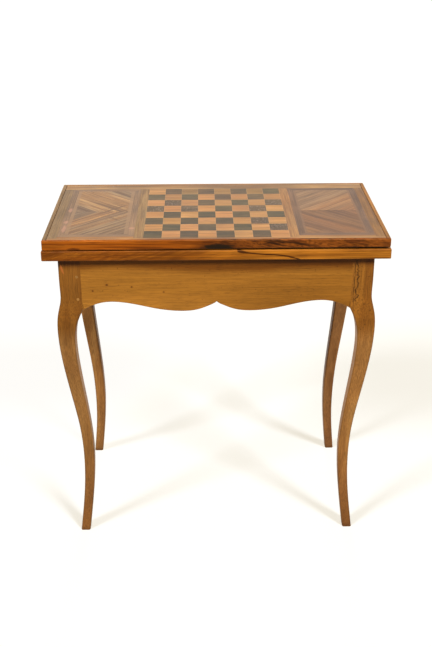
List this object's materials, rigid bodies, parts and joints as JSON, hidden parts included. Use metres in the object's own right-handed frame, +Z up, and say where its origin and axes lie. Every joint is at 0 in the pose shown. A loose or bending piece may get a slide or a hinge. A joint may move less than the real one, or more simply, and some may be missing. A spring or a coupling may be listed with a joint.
{
  "type": "folding chess table",
  "caption": "Folding walnut game table with cabriole legs, shaped aprons, an inlaid chess board and side panels; the top turns on a pivot and unfolds to a baize field.",
  "frame": {"origin": "on the floor, below the middle of the folded top", "axes": "+Z up, +X along the top to the right as seen from the front, +Y from the front to the hinged back edge"},
  "size_m": [0.737, 0.363, 0.7525],
  "materials": {
    "frame_walnut": "waxed walnut",
    "apron_walnut": "waxed honey walnut",
    "peg_wood": "pale peg wood, waxed",
    "inner_wood": "planed poplar, unfinished",
    "lipping_walnut": "polished walnut",
    "inner_border": "polished walnut veneer",
    "baize": "green wool baize",
    "light_square": "polished cherry veneer",
    "dark_square": "faded dark stained veneer",
    "strip_veneer": "polished golden veneer",
    "band_veneer": "polished dark veneer",
    "panel_veneer": "polished figured walnut veneer",
    "border_veneer": "polished walnut veneer",
    "hinge_brass": "aged brass",
    "pivot_steel": "forged and filed steel"
  },
  "bodies": {
    "frame": {"front_left_leg": "frame_walnut", "front_right_leg": "frame_walnut", "back_left_leg": "frame_walnut", "back_right_leg": "frame_walnut", "front_apron": "apron_walnut", "back_apron": "apron_walnut", "left_apron": "apron_walnut", "right_apron": "apron_walnut", "front_pegs": "peg_wood", "back_pegs": "peg_wood", "left_pegs": "peg_wood", "right_pegs": "peg_wood", "pivot_rail": "inner_wood", "well_floor": "inner_wood", "front_cleat": "inner_wood", "back_cleat": "inner_wood"},
    "lower_leaf": {"lower_leaf_core": "inner_wood", "front_lower_lipping": "lipping_walnut", "back_lower_lipping": "lipping_walnut", "left_lower_lipping": "lipping_walnut", "right_lower_lipping": "lipping_walnut", "lower_inner_border": "inner_border", "lower_baize": "baize", "left_lower_hinge_plate": "hinge_brass", "right_lower_hinge_plate": "hinge_brass", "left_hinge_pin": "hinge_brass", "right_hinge_pin": "hinge_brass", "lower_hinge_screws": "hinge_brass", "pivot_bolt": "pivot_steel", "pivot_screws": "pivot_steel", "pivot_washer": "pivot_steel", "pivot_nut": "pivot_steel", "stop_peg": "peg_wood"},
    "upper_leaf": {"upper_leaf_core": "inner_wood", "front_upper_lipping": "lipping_walnut", "back_upper_lipping": "lipping_walnut", "left_upper_lipping": "lipping_walnut", "right_upper_lipping": "lipping_walnut", "light_squares": "light_square", "dark_squares": "dark_square", "board_side_strips": "strip_veneer", "left_panel_band": "band_veneer", "right_panel_band": "band_veneer", "left_panel_front_veneer": "panel_veneer", "left_panel_back_veneer": "panel_veneer", "right_panel_front_veneer": "panel_veneer", "right_panel_back_veneer": "panel_veneer", "front_border_veneer": "border_veneer", "back_border_veneer": "border_veneer", "left_border_veneer": "border_veneer", "right_border_veneer": "border_veneer", "upper_inner_border": "inner_border", "upper_baize": "baize", "left_upper_hinge_plate": "hinge_brass", "right_upper_hinge_plate": "hinge_brass", "upper_hinge_screws": "hinge_brass"}
  },
  "joints": [
    {"name": "top_swivel", "type": "hinge", "parent": "frame", "child": "lower_leaf", "pos_m": [0.0902, 0.0902, 0.706], "axis": [0, 0, 1], "range_deg": [0, 90]},
    {"name": "leaf_fold", "type": "hinge", "parent": "lower_leaf", "child": "upper_leaf", "pos_m": [0, 0.1804, 0.72925], "axis": [-1, 0, 0], "range_deg": [0, 180]}
  ]
}
